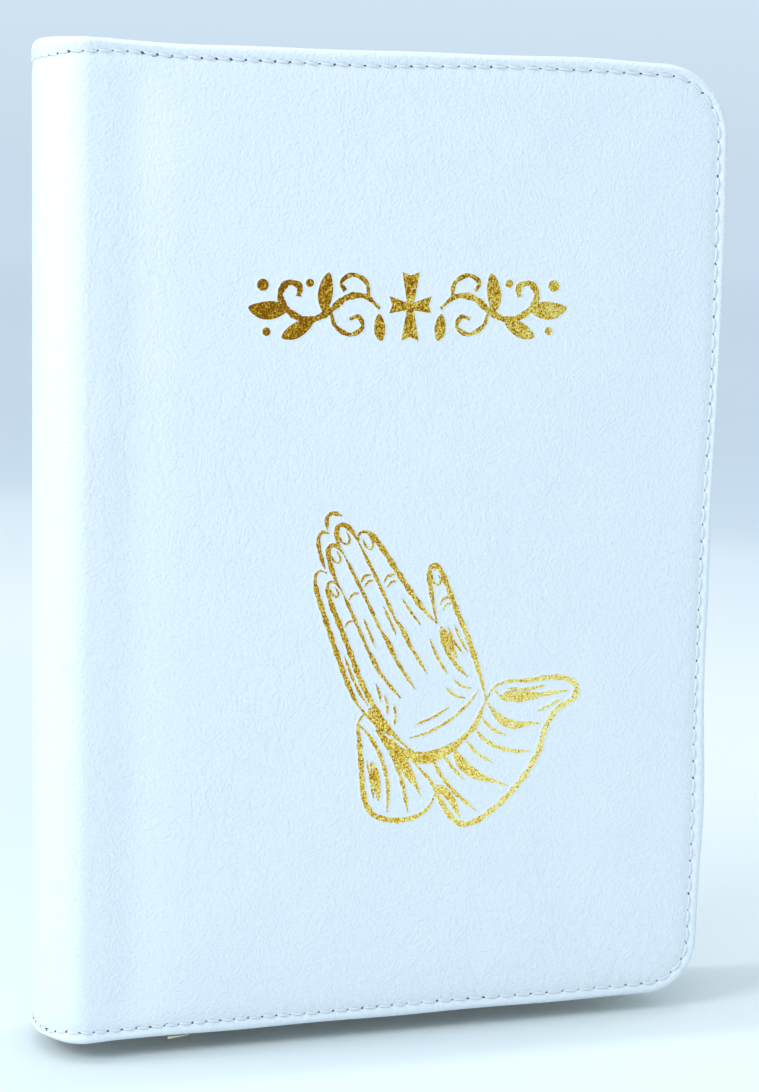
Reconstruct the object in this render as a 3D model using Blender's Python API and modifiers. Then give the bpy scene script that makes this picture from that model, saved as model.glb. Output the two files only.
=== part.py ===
"""A white leather prayer book: two stitched, padded covers hinged to a rounded spine, round a sewn
block of pages that opens as a fan.

Metres, +Z up. The book stands closed on its tail edge. X runs across the cover from the spine (-X)
to the fore edge (+X), and Y through the book from the front cover (-Y) to the back cover (+Y).
The origin is at the middle of the base.
"""

import math

import bmesh
import bpy

# Driving dimensions
HEIGHT = 0.190  # tail to head, over the covers
WIDTH = 0.136  # spine to fore edge
THICK = 0.027  # front face to back face
SPINE_DEPTH = 0.008  # how far the rounded spine stands past the hinge lines
SPINE_DIP = 0.0012  # how far the head of the spine sinks at its middle
CORNER_R = 0.016  # fore-edge corners of the covers
EDGE_ROUND = 0.0008

LEATHER = 0.0010
PADDING = 0.0007
BOARD = 0.0009
LINING = 0.0006
RIM = 0.0010  # leather turned round the edges of the board
HEM = 0.0017  # folded leather at the head and tail of the spine
HEM_HEIGHT = 0.007
LAYER_GAP = 0.0002
JOINT_GAP = 0.00015  # each side of a hinge line
BOARD_SETBACK = 0.0015  # boards stop short of the hinge line, so that the leather can bend

SEAM_INSET = 0.0024  # sewing line to the edge of the cover
THREAD_R = 0.0002
GROOVE_R = 0.0004

SQUARE = 0.0032  # how far the covers stand past the pages at head and tail
FORE_SQUARE = 0.0034
PAGE_CORNER_R = 0.0125
BLOCK_HALF = 0.0094  # half the thickness of the page block
BACK_DEPTH = 0.005  # rounding of the back of the block
FLYLEAF = 0.0003
SECTION = 0.0024
CORE_FRONT = 0.0006  # the middle pages, in front of and behind the mid plane
CORE_BACK = 0.0011
FOLD_CLEARANCE = 0.0003

MULL = 0.0004
CARD = 0.0005
BAND_R = 0.00065
RIBBON_WIDTH = 0.004
RIBBON_THICK = 0.00025

HINGE_X = SPINE_DEPTH - WIDTH / 2
FACE_Y = THICK / 2
HINGE_Y = FACE_Y + 0.0001
STACK = LEATHER + PADDING + BOARD + LINING + 3 * LAYER_GAP
FORE_X = WIDTH / 2 - FORE_SQUARE
PAGE_LOW, PAGE_HIGH = SQUARE, HEIGHT - SQUARE

# Leaves that open, from the cover inwards: name, thickness, and the place of the fold in X.
# Each fold lies further out than the one before, so a thick section clears the next as it turns.
LEAVES = (
    ("flyleaf", FLYLEAF, -0.0510),
    ("section_1", SECTION, -0.0502),
    ("section_2", SECTION, -0.0481),
    ("section_3", SECTION, -0.0470),
)


def clear_scene():
    for obj in list(bpy.data.objects):
        bpy.data.objects.remove(obj, do_unlink=True)


clear_scene()
parts = bpy.data.collections.new("prayer_book")
cutters = bpy.data.collections.new("cutters")
bpy.context.scene.collection.children.link(parts)
bpy.context.scene.collection.children.link(cutters)


def material(name, colour, roughness, metallic=0.0):
    made = bpy.data.materials.new(name)
    made.use_nodes = True
    shader = made.node_tree.nodes["Principled BSDF"]
    shader.inputs["Base Color"].default_value = (*colour, 1.0)
    shader.inputs["Roughness"].default_value = roughness
    shader.inputs["Metallic"].default_value = metallic
    return made


WHITE_LEATHER = (0.84, 0.89, 0.93)
PAPER = (0.90, 0.88, 0.81)


def new_object(name, mesh, parent=None, look=None):
    obj = bpy.data.objects.new(name, mesh)
    parts.objects.link(obj)
    if look:
        mesh.materials.append(look)
    if parent:
        obj.parent = parent
        obj.matrix_parent_inverse = parent.matrix_world.inverted()
    return obj


def as_cutter(obj):
    parts.objects.unlink(obj)
    cutters.objects.link(obj)
    obj.hide_render = True
    obj.display_type = "WIRE"
    return obj


def mesh_of_curve(curve_obj):
    """The curve's surface as one closed mesh in world space. The curve is removed."""
    bpy.context.view_layer.update()
    graph = bpy.context.evaluated_depsgraph_get()
    mesh = bpy.data.meshes.new_from_object(curve_obj.evaluated_get(graph))
    mesh.transform(curve_obj.matrix_world)
    mesh.materials.clear()
    bpy.data.objects.remove(curve_obj, do_unlink=True)
    work = bmesh.new()
    work.from_mesh(mesh)
    bmesh.ops.remove_doubles(work, verts=work.verts, dist=1e-6)
    bmesh.ops.dissolve_limit(
        work, angle_limit=math.radians(0.5), verts=work.verts, edges=work.edges
    )
    bmesh.ops.recalc_face_normals(work, faces=work.faces)
    work.to_mesh(mesh)
    work.free()
    return mesh


def plate(name, outline, low, high, upright=True, parent=None, look=None):
    """A flat outline with a thickness. An upright plate's outline is in X and Z, and low and high
    are in Y; otherwise the outline is in X and Y, and low and high are in Z."""
    data = bpy.data.curves.new(name, "CURVE")
    data.dimensions = "2D"
    data.fill_mode = "BOTH"
    data.extrude = (high - low) / 2
    spline = data.splines.new("POLY")
    spline.points.add(len(outline) - 1)
    for point, (a, b) in zip(spline.points, outline):
        point.co = (a, b, 0.0, 1.0)
    spline.use_cyclic_u = True
    curve = bpy.data.objects.new(name + "_outline", data)
    parts.objects.link(curve)
    middle = (low + high) / 2
    if upright:
        curve.rotation_euler.x = math.pi / 2
        curve.location.y = middle
    else:
        curve.location.z = middle
    return new_object(name, mesh_of_curve(curve), parent, look)


def tube(name, points, radius, sides=1, parent=None, look=None):
    data = bpy.data.curves.new(name, "CURVE")
    data.dimensions = "3D"
    data.bevel_depth = radius
    data.bevel_resolution = sides
    data.use_fill_caps = True
    spline = data.splines.new("POLY")
    spline.points.add(len(points) - 1)
    for point, co in zip(spline.points, points):
        point.co = (*co, 1.0)
    curve = bpy.data.objects.new(name + "_path", data)
    parts.objects.link(curve)
    obj = new_object(name, mesh_of_curve(curve), parent, look)
    obj.data.shade_smooth()
    return obj


def cut(obj, cutter, operation="DIFFERENCE"):
    modifier = obj.modifiers.new(operation.title() + "_" + cutter.name, "BOOLEAN")
    modifier.operation = operation
    modifier.solver = "EXACT"
    modifier.object = cutter


def soften(obj, width, segments=2):
    modifier = obj.modifiers.new("Rounded_edges", "BEVEL")
    modifier.width = width
    modifier.segments = segments
    modifier.limit_method = "ANGLE"
    modifier.angle_limit = math.radians(50)


def axis_empty(name, x, y):
    """An empty on an upright joint axis."""
    empty = bpy.data.objects.new(name, None)
    empty.empty_display_size = 0.02
    empty.location = (x, y, 0.0)
    parts.objects.link(empty)
    bpy.context.view_layer.update()
    return empty


def rounded_panel(x_low, x_high, z_low, z_high, radius, steps=8):
    """The outline of a cover or a page: square at the spine, round at both fore-edge corners."""
    points = [(x_low, z_low)]
    for turn, z in ((-90, z_low + radius), (0, z_high - radius)):
        for i in range(steps + 1):
            angle = math.radians(turn + 90 * i / steps)
            points.append(
                (
                    x_high - radius + radius * math.cos(angle),
                    z + radius * math.sin(angle),
                )
            )
    points.append((x_low, z_high))
    return points


def cover_outline(x_low, inset, steps=8):
    return rounded_panel(
        x_low,
        WIDTH / 2 - inset,
        inset,
        HEIGHT - inset,
        CORNER_R - inset,
        steps,
    )


def page_outline(x_low, steps=6):
    return rounded_panel(x_low, FORE_X, PAGE_LOW, PAGE_HIGH, PAGE_CORNER_R, steps)


def between(side, outer, inner):
    """The Y limits of a layer that lies from outer to inner under the face on this side."""
    return sorted((side * (FACE_Y - outer), side * (FACE_Y - inner)))


def make_cover(word, side, axis):
    """One cover, from the outside in: leather turned round the edges, padding, board and lining,
    with its sewing thread sunk in the leather."""
    start = HINGE_X - 0.003
    leather = plate(
        word + "_leather",
        cover_outline(start, 0.0, 10),
        *between(side, 0.0, STACK),
        parent=axis,
        look=material(word + "_leather", WHITE_LEATHER, 0.5),
    )
    soften(leather, EDGE_ROUND)
    hollow = plate(
        word + "_leather_hollow",
        cover_outline(start - 0.003, RIM),
        *between(side, LEATHER, STACK + 0.002),
    )
    cut(leather, as_cutter(hollow))
    past_hinge = plate(
        word + "_leather_end",
        [
            (start - 0.005, -0.01),
            (HINGE_X + JOINT_GAP, -0.01),
            (HINGE_X + JOINT_GAP, HEIGHT + 0.01),
            (start - 0.005, HEIGHT + 0.01),
        ],
        *between(side, -0.002, STACK + 0.002),
    )
    cut(leather, as_cutter(past_hinge))

    depth = side * (FACE_Y - THREAD_R)
    line = [(x, depth, z) for x, z in cover_outline(start, SEAM_INSET, 10)]
    cut(leather, as_cutter(tube(word + "_seam_groove", line, GROOVE_R)))
    line = [
        (x, depth, z)
        for x, z in cover_outline(HINGE_X + 2 * JOINT_GAP, SEAM_INSET, 10)
    ]
    tube(
        word + "_seam_thread",
        line,
        THREAD_R,
        parent=axis,
        look=material(word + "_thread", (0.80, 0.83, 0.86), 0.8),
    )

    top = LEATHER + LAYER_GAP
    layers = (
        ("padding", PADDING, (0.85, 0.85, 0.84), 0.95),
        ("board", BOARD, (0.55, 0.53, 0.50), 0.9),
        ("lining", LINING, (0.88, 0.89, 0.90), 0.7),
    )
    for name, thick, colour, roughness in layers:
        plate(
            word + "_" + name,
            cover_outline(HINGE_X + BOARD_SETBACK, RIM + LAYER_GAP),
            *between(side, top, top + thick),
            parent=axis,
            look=material(word + "_" + name, colour, roughness),
        )
        top += thick + LAYER_GAP


def spine_rail(inset, first=90.0, last=270.0, steps=24, depth=SPINE_DEPTH, half=FACE_Y):
    """Points (x, y) round the spine, this far inside the ellipse."""
    points = []
    for i in range(steps + 1):
        angle = math.radians(first + (last - first) * i / steps)
        points.append(
            (
                HINGE_X + (depth - inset) * math.cos(angle),
                (half - inset) * math.sin(angle),
            )
        )
    return points


def dip(x):
    """How far the head of the spine lies below the covers at this X."""
    share = max(0.0, (HINGE_X - x) / SPINE_DEPTH)
    return SPINE_DIP * share**1.5


def sweep_round_spine(name, section, ends, depth=SPINE_DEPTH, half=FACE_Y, look=None):
    """A closed section, as (inset, height, follows the dip) points, swept round the spine."""
    work = bmesh.new()
    first, last, steps = ends
    rails = [
        spine_rail(inset, first, last, steps, depth, half)
        for inset, _, _ in section
    ]
    rings = []
    for i in range(steps + 1):
        ring = []
        for rail, (_, z, dips) in zip(rails, section):
            x, y = rail[i]
            if i in (0, steps) and abs(y) > FACE_Y - HEM - 1e-6 and first == 90.0:
                x = HINGE_X - JOINT_GAP
            ring.append(work.verts.new((x, y, z - (dip(x) if dips else 0.0))))
        rings.append(ring)
    count = len(section)
    for a, b in zip(rings, rings[1:]):
        for j in range(count):
            k = (j + 1) % count
            work.faces.new((a[j], a[k], b[k], b[j]))
    work.faces.new(rings[0])
    work.faces.new(list(reversed(rings[-1])))
    bmesh.ops.recalc_face_normals(work, faces=work.faces)
    mesh = bpy.data.meshes.new(name)
    work.to_mesh(mesh)
    work.free()
    obj = new_object(name, mesh, look=look)
    mesh.shade_smooth()
    mesh.set_sharp_from_angle(angle=math.radians(40))
    return obj


def make_spine():
    """The leather round the spine, folded over at head and tail, with its two sewing lines and the
    card strip that stiffens it."""
    section = [
        (0.0, 0.0, False),
        (0.0, HEIGHT, True),
        (HEM, HEIGHT, True),
        (HEM, HEIGHT - HEM_HEIGHT, True),
        (LEATHER, HEIGHT - HEM_HEIGHT, True),
        (LEATHER, HEM_HEIGHT, False),
        (HEM, HEM_HEIGHT, False),
        (HEM, 0.0, False),
    ]
    leather = sweep_round_spine(
        "spine_leather",
        section,
        (90.0, 270.0, 28),
        look=material("spine_leather", WHITE_LEATHER, 0.5),
    )
    for end, z in (("head", HEIGHT - SEAM_INSET), ("tail", SEAM_INSET)):
        sinks = end == "head"
        rail = spine_rail(THREAD_R, 90.0, 270.0, 28)
        line = [(x, y, z - (dip(x) if sinks else 0.0)) for x, y in rail]
        past = [(HINGE_X + 0.002, line[0][1], z)]
        past_other = [(HINGE_X + 0.002, line[-1][1], z)]
        groove = tube("spine_groove_" + end, past + line + past_other, GROOVE_R)
        cut(leather, as_cutter(groove))
        stitched = [p for p in line if p[0] < HINGE_X - 2 * JOINT_GAP]
        tube(
            "spine_thread_" + end,
            stitched,
            THREAD_R,
            look=material("spine_thread_" + end, (0.80, 0.83, 0.86), 0.8),
        )

    card_in = LEATHER + LAYER_GAP
    low, high = HEM_HEIGHT + 0.0003, HEIGHT - HEM_HEIGHT - SPINE_DIP - 0.0003
    sweep_round_spine(
        "spine_card",
        [
            (card_in, low, False),
            (card_in, high, False),
            (card_in + CARD, high, False),
            (card_in + CARD, low, False),
        ],
        (105.0, 255.0, 18),
        look=material("spine_card", (0.62, 0.57, 0.48), 0.9),
    )


def levels(middle):
    """Each opening leaf on one side as (name, thickness, fold x, outer face, inner face), where
    faces are distances from the mid plane, and the step that the bound pages leave under it."""
    found, outer = [], BLOCK_HALF
    for name, thick, fold in LEAVES:
        found.append((name, thick, fold, outer, outer - thick))
        outer -= thick + LAYER_GAP
    return found, middle


def step_points(side, middle):
    """The stepped edge of the bound pages on one side, from the outer face to the middle pages."""
    found, core = levels(middle)
    points = []
    faces = [level[3] for level in found] + [core]
    for (_, _, fold, _, _), outer, inner in zip(found, faces, faces[1:]):
        points.append((fold - FOLD_CLEARANCE, side * outer))
        points.append((fold - FOLD_CLEARANCE, side * inner))
    points.append((FORE_X, side * core))
    return points


def make_block():
    """The bound pages: a rounded back, steps where the opening leaves fold, and the middle pages
    out to the fore edge. Then the cloth on its back, the two bands, and the ribbon."""
    back = spine_rail(0.0, 90.0, 270.0, 16, BACK_DEPTH, BLOCK_HALF)
    outline = back + step_points(-1, CORE_FRONT) + step_points(1, CORE_BACK)[::-1]
    block = plate(
        "bound_pages",
        outline,
        PAGE_LOW,
        PAGE_HIGH,
        upright=False,
        look=material("bound_pages", PAPER, 0.85),
    )
    trim = plate("page_trim", page_outline(HINGE_X - 0.02), -0.02, 0.02)
    # The trimming outline is a little oversize at head and tail, so it only rounds the corners.
    trim.data.transform(trim.matrix_world)
    for vertex in trim.data.vertices:
        if vertex.co.x < 0.0:
            vertex.co.z += 0.001 if vertex.co.z > HEIGHT / 2 else -0.001
    cut(block, as_cutter(trim), "INTERSECT")

    mull_depth, mull_half = BACK_DEPTH + 0.0003 + MULL, BLOCK_HALF + 0.0003 + MULL
    sweep_round_spine(
        "mull_cloth",
        [
            (0.0, 0.012, False),
            (0.0, HEIGHT - 0.012, False),
            (MULL, HEIGHT - 0.012, False),
            (MULL, 0.012, False),
        ],
        (100.0, 260.0, 14),
        mull_depth,
        mull_half,
        look=material("mull_cloth", (0.85, 0.83, 0.76), 0.95),
    )
    rail = spine_rail(0.0, 103.0, 257.0, 14, BACK_DEPTH - 0.0008, BLOCK_HALF - 0.0008)
    for end, z in (
        ("head_band", PAGE_HIGH + BAND_R + 0.0003),
        ("tail_band", PAGE_LOW - BAND_R - 0.0003),
    ):
        tube(
            end,
            [(x, y, z) for x, y in rail],
            BAND_R,
            look=material(end, (0.93, 0.92, 0.88), 0.6),
        )

    # The ribbon lies on the head of the block, folds down over the middle pages, and hangs out of
    # the tail on a slant.
    face = -(CORE_FRONT + LAYER_GAP)
    top = PAGE_HIGH + 0.0002
    upper, lower = LEAVES[-1][2] + 0.0006, -0.0382
    ribbon = plate(
        "ribbon_marker",
        [
            (upper, top + RIBBON_THICK),
            (lower, 0.0008),
            (lower + RIBBON_WIDTH, 0.0022),
            (upper + RIBBON_WIDTH, top + RIBBON_THICK),
        ],
        face - RIBBON_THICK,
        face,
        look=material("ribbon_marker", (0.86, 0.80, 0.62), 0.4),
    )
    over_head = plate(
        "ribbon_over_head",
        [
            (HINGE_X - 0.0032, face - RIBBON_THICK),
            (upper + RIBBON_WIDTH, face - RIBBON_THICK),
            (upper + RIBBON_WIDTH, face + RIBBON_THICK),
            (upper, face + RIBBON_WIDTH),
            (HINGE_X - 0.0032, face + RIBBON_WIDTH),
        ],
        top,
        top + RIBBON_THICK,
        upright=False,
    )
    cut(ribbon, as_cutter(over_head), "UNION")


def make_leaves(word, side, middle):
    found, _ = levels(middle)
    for name, _, fold, outer, inner in found:
        axis = axis_empty(word + "_" + name + "_axis", fold, side * outer)
        low, high = sorted((side * outer, side * inner))
        plate(
            word + "_" + name,
            page_outline(fold),
            low,
            high,
            parent=axis,
            look=material(word + "_" + name, PAPER, 0.85),
        )


for word, side, middle in (("front", -1, CORE_FRONT), ("back", 1, CORE_BACK)):
    make_cover(word, side, axis_empty(word + "_cover_axis", HINGE_X, side * HINGE_Y))
    make_leaves(word, side, middle)
make_spine()
make_block()
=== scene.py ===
"""The looks of the prayer book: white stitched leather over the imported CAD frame. Lengths are in
millimetres until a mesh is made, and the frame is the CAD's: X to the fore edge, Y from the front
cover to the back cover, Z from tail to head."""

import math
import random

import bmesh
import bpy
import numpy as np
from mathutils import Matrix, Vector


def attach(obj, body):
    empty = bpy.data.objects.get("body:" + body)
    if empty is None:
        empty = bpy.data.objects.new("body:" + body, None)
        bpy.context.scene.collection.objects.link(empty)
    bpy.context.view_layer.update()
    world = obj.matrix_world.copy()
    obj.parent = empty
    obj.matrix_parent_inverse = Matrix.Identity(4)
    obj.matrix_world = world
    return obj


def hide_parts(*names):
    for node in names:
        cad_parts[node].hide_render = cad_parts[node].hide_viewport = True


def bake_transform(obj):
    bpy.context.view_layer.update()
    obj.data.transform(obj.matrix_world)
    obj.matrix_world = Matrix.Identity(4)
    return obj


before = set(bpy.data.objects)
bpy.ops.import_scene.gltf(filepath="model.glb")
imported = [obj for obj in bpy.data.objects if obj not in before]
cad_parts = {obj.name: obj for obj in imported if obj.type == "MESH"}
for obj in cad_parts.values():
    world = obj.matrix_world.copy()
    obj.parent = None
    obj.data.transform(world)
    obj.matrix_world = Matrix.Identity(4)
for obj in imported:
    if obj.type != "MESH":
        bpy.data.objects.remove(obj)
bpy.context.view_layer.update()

MM = 0.001
WIDTH, HEIGHT, THICK = 136.0, 190.0, 27.0
SPINE = 8.0  # depth of the rounded spine
HINGE = SPINE - WIDTH / 2
FACE = THICK / 2
FORE = WIDTH / 2
LOW_CORNER, HIGH_CORNER = 11.0, 14.0
STACK = 3.8  # thickness of a cover
HEM = 1.7  # thickness of the spine's folded ends
CAP = 3.7  # thickness of the rolled ends of the spine, above the page block
SEAM = 2.4  # sewing line to edge
RINGS_TO = 9.0  # the closely spaced rings stop this far in
TABLE_GAP = 3.8  # the tail edges stay this far above the table top
FLYLEAF, SECTION = 0.3, 2.4  # thickness of a flyleaf and of a section of leaves
WORLD = 0.69  # strength of the even studio light
ROOT = "spine_and_block"


# -------- materials


class Nodes:
    """A short way to write the nodes of a material or a world."""

    def __init__(self, name, world=False):
        self.owner = (bpy.data.worlds if world else bpy.data.materials).new(name)
        self.owner.use_nodes = True
        self.tree = self.owner.node_tree
        self.shader = self.tree.nodes["Background" if world else "Principled BSDF"]

    def add(self, kind, sockets=None, **settings):
        node = self.tree.nodes.new("ShaderNode" + kind)
        for key, value in settings.items():
            setattr(node, key, value)
        for key, item in (sockets or {}).items():
            self.feed(node.inputs[key], item)
        return node

    def feed(self, socket, item):
        """Sets a socket to a number, a vector or a colour, or links an output to it."""
        if isinstance(item, (int, float)):
            socket.default_value = item
        elif isinstance(item, tuple):
            socket.default_value = (*item, 1.0) if socket.type == "RGBA" else item
        else:
            self.tree.links.new(item, socket)

    def value(self, name, number):
        self.shader.inputs[name].default_value = number

    def rest(self):
        return self.add("Attribute", attribute_name="rest").outputs["Vector"]

    def place(self):
        return self.add("TexCoord").outputs["Object"]

    def scaled(self, vector, scale):
        return self.add("Mapping", {"Vector": vector, "Scale": scale}).outputs["Vector"]

    def parts(self, vector):
        return self.add("SeparateXYZ", {"Vector": vector}).outputs

    def noise(self, vector, scale, detail=2.0, rough=0.5, distort=0.0, out="Fac"):
        sockets = {"Vector": vector, "Scale": scale, "Detail": detail}
        sockets |= {"Roughness": rough, "Distortion": distort}
        return self.add("TexNoise", sockets).outputs[out]

    def cells(self, vector, scale, feature):
        sockets = {"Vector": vector, "Scale": scale}
        return self.add("TexVoronoi", sockets, feature=feature).outputs["Distance"]

    def maths(self, kind, a, b=0.5):
        return self.add("Math", {0: a, 1: b}, operation=kind).outputs[0]

    def ramp(self, factor, *stops, ease=False):
        node = self.add("ValToRGB")
        ramp = node.color_ramp
        ramp.interpolation = "EASE" if ease else "LINEAR"
        while len(ramp.elements) < len(stops):
            ramp.elements.new(0.5)
        for element, (at, colour) in zip(ramp.elements, stops):
            element.position = at
            if isinstance(colour, (int, float)):
                colour = (colour,) * 3
            element.color = (*colour, 1.0)
        self.feed(node.inputs["Fac"], factor)
        return node.outputs["Color"]

    def mix(self, factor, a, b):
        # A Mix node's colour sockets have these numbers
        return self.add("Mix", {0: factor, 6: a, 7: b}, data_type="RGBA").outputs[2]

    def bump(self, height, distance, strength, under=None):
        sockets = {"Distance": distance, "Strength": strength, "Height": height}
        if under is not None:
            sockets["Normal"] = under
        return self.add("Bump", sockets).outputs["Normal"]

    def finish(self, colour, roughness, normal):
        for name, item in (("Base Color", colour), ("Roughness", roughness), ("Normal", normal)):
            self.feed(self.shader.inputs[name], item)
        return self.owner


def shade(colour, share):
    """A darker or lighter version of a colour."""
    return tuple(min(1.0, c * share) for c in colour)


def leather(name, colour, tone, grain=1.0):
    """Soft drawn leather: small pebbles, long shallow creases with painted shade in them, and a
    faint mottle.
    """
    n = Nodes(name)
    at = n.rest()
    warp = n.noise(at, 90.0, out="Color")
    sockets = {0: warp, 1: (0.006, 0.006, 0.006), 2: at}
    bent = n.add("VectorMath", sockets, operation="MULTIPLY_ADD").outputs["Vector"]
    pebble = n.cells(bent, 1800.0, "SMOOTH_F1")
    fine = n.noise(at, 2600.0, 3.0, 0.6)
    long_creases = n.cells(n.scaled(bent, (1.0, 1.0, 0.45)), 210.0, "DISTANCE_TO_EDGE")
    crease = n.ramp(long_creases, (0.0, 0.0), (0.10, 0.85), (0.35, 1.0))
    where = n.ramp(n.noise(at, 28.0, 3.0, 0.6), (0.42, 0.0), (0.66, 1.0), ease=True)
    crease = n.maths("MULTIPLY", n.maths("SUBTRACT", 1.0, crease), where)
    drawn = n.noise(n.scaled(bent, (1.3, 1.3, 0.8)), 620.0, 4.0, 0.7, 0.3)
    soft = n.noise(at, 55.0, 3.0, 0.55)
    normal = n.bump(soft, 0.0009, 0.3)
    normal = n.bump(drawn, 0.00028 * grain, 0.3, normal)
    normal = n.bump(n.maths("SUBTRACT", 1.0, crease), 0.00012 * grain, 0.4, normal)
    normal = n.bump(pebble, 0.00023 * grain, 0.6, normal)
    normal = n.bump(fine, 0.00004 * grain, 0.5, normal)
    mottle = n.ramp(n.noise(at, 40.0, 4.0, 0.6), (0.3, 0.0), (0.7, 1.0))
    tint = n.mix(mottle, shade(colour, 1 - 2 * tone), shade(colour, 1 + tone))
    # Painted shade: the creases are darkened a little.
    tint = n.mix(n.maths("MULTIPLY", crease, 0.08), tint, shade(colour, 0.8))
    rough = n.ramp(n.noise(at, 700.0), (0.3, 0.46), (0.7, 0.58))
    return n.finish(tint, rough, normal)


def plain(name, colour, roughness, spread=0.06, scale=600.0, rough=0.6, relief=(0.00005, 0.6)):
    """One colour with a fine grain."""
    n = Nodes(name)
    grain = n.noise(n.place(), scale, 3.0, rough)
    tint = n.mix(grain, shade(colour, 1 - spread), colour)
    return n.finish(tint, roughness, n.bump(grain, *relief))


def gold_foil(name):
    """Hot foil pressed into the grain: bright flakes over a deeper gold, with painted shade that
    makes it darker to the spine side and to the head."""
    n = Nodes(name)
    at = n.rest()
    sparkle = n.noise(at, 2600.0, 2.0, 0.8)
    patch = n.noise(at, 500.0, 3.0, 0.6)
    split = n.parts(at)
    # Painted shade: darker towards the spine side (low X) and towards the head (high Z).
    across = n.maths("MULTIPLY", split["X"], 8.0)
    down = n.maths("MULTIPLY", split["Z"], -2.6)
    amount = n.maths("ADD", n.maths("MULTIPLY", sparkle, 2.9), patch)
    amount = n.maths("ADD", amount, n.maths("ADD", across, down))
    tint = n.ramp(
        n.maths("ADD", amount, -1.25),
        (0.08, (0.25, 0.085, 0.0)),
        (0.40, (0.66, 0.34, 0.012)),
        (0.68, (0.90, 0.67, 0.09)),
        (0.97, (1.0, 0.93, 0.44)),
    )
    n.value("Metallic", 0.85)
    rough = n.ramp(sparkle, (0.3, 0.5), (0.7, 0.3))
    normal = n.bump(patch, 0.00016, 0.6)
    normal = n.bump(sparkle, 0.00006, 0.7, normal)
    return n.finish(tint, rough, normal)


def page_edges(name, colour, sheet=None):
    """The cut edges of a stack of thin leaves. The lines lie along the leaves, so they run in X and
    Z and change in Y, and a little dust and tone varies between gatherings. Given the colour of a
    sheet, it is for a whole CAD block: its two broad faces are plain sheet."""
    n = Nodes(name)
    at = n.place() if sheet else n.rest()
    lines = n.noise(n.scaled(at, (60.0, 14000.0, 60.0)), 1.0, 3.0, 0.75)
    groups = n.noise(n.scaled(at, (12.0, 1800.0, 12.0)), 1.0, 3.0, 0.6)
    tint = n.mix(n.ramp(lines, (0.32, 0.0), (0.68, 1.0)), shade(colour, 0.66), colour)
    tint = n.mix(n.ramp(groups, (0.35, 0.28), (0.6, 0.0)), tint, shade(colour, 0.8))
    if sheet:
        facing = n.parts(n.add("TexCoord").outputs["Normal"])["Y"]
        broad = n.ramp(n.maths("ABSOLUTE", facing), (0.75, 0.0), (0.85, 1.0))
        tint = n.mix(broad, tint, sheet)
    return n.finish(tint, 0.9, n.bump(lines, 0.00016, 0.9))


def sheet_paper(name, colour):
    n = Nodes(name)
    at = n.rest()
    fibre = n.noise(at, 900.0, 4.0, 0.7)
    cloud = n.noise(at, 45.0, 3.0, 0.5)
    tint = n.mix(fibre, shade(colour, 0.94), colour)
    tint = n.mix(n.ramp(cloud, (0.4, 0.0), (0.7, 0.2)), tint, shade(colour, 0.93))
    return n.finish(tint, 0.88, n.bump(fibre, 0.00003, 0.5))


def satin(name, colour):
    """Narrow woven satin: fine ribs across and a soft sheen."""
    n = Nodes(name)
    at = n.place()
    ribs = n.noise(n.scaled(at, (600.0, 600.0, 5200.0)), 1.0)
    warp = n.noise(n.scaled(at, (5200.0, 600.0, 200.0)), 1.0)
    tint = n.mix(warp, shade(colour, 0.82), colour)
    n.value("Sheen Weight", 0.4)
    return n.finish(tint, 0.42, n.bump(ribs, 0.00005, 0.6))


def striped_band(name, first, second):
    """A sewn head band: thread wound over a cord in two colours."""
    n = Nodes(name)
    at = n.place()

    def bands(scale, distort):
        sockets = {"Vector": at, "Scale": scale, "Distortion": distort}
        node = n.add("TexWave", sockets, wave_type="BANDS", bands_direction="Y")
        return node.outputs["Fac"]

    tint = n.mix(n.ramp(bands(190.0, 0.4), (0.45, 0.0), (0.55, 1.0)), first, second)
    return n.finish(tint, 0.55, n.bump(bands(900.0, 0.0), 0.0001, 0.8))


def woven(name, colour):
    n = Nodes(name)
    at = n.place()
    ways = (1.0, 1.0, 12.0), (1.0, 12.0, 1.0)
    both = n.maths("ADD", *(n.maths("MULTIPLY", n.noise(n.scaled(at, w), 260.0)) for w in ways))
    tint = n.mix(both, shade(colour, 0.75), colour)
    return n.finish(tint, 0.95, n.bump(both, 0.0002, 0.8))


WHITE = (0.768, 0.823, 0.865)
PAPER = (0.90, 0.87, 0.79)
BAND_COLOURS = (0.90, 0.88, 0.80), (0.62, 0.45, 0.16)
SKIN = leather("white_leather_look", WHITE, 0.006)
SKIN_LIP = leather("white_leather_pressed", WHITE, 0.006, 0.5)
INNER = leather("inner_lining_look", (0.80, 0.83, 0.85), 0.008, 0.55)
THREAD = plain("thread_look", (0.86, 0.90, 0.93), 0.85, 0.28, 3200.0, 0.7, (0.00012, 0.8))
# Painted shade: dark and faint colours for the discs that stand in for the shade inside the needle
# holes.
PAINTED_HOLE_SHADE = plain("needle_hole_painted_shade", (0.05, 0.075, 0.11), 0.8, 0.4, 3000.0)
FAINT_PAINTED_HOLE_SHADE = plain("faint_needle_hole_painted_shade", (0.26, 0.32, 0.39), 0.8, 0.4, 3000.0)
FOIL = gold_foil("gold_foil_look")
EDGES = page_edges("page_edges_look", PAPER)
SHEET = sheet_paper("sheet_paper_look", (0.93, 0.915, 0.87))
RIBBON = satin("ribbon_look", (0.88, 0.80, 0.58))


# -------- mesh helpers


def smooth_step(value, low, high):
    t = np.clip((value - low) / (high - low), 0.0, 1.0)
    return t * t * (3 - 2 * t)


def bell(value, middle, spread):
    """1 at the middle, falling away on both sides."""
    return np.exp(-(((value - middle) / spread) ** 2))


def circle(count):
    return np.linspace(0, 2 * math.pi, count, endpoint=False)


def steps_of(points):
    """Distance from each point to the next."""
    return np.linalg.norm(np.diff(points, axis=0), axis=1)


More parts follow.
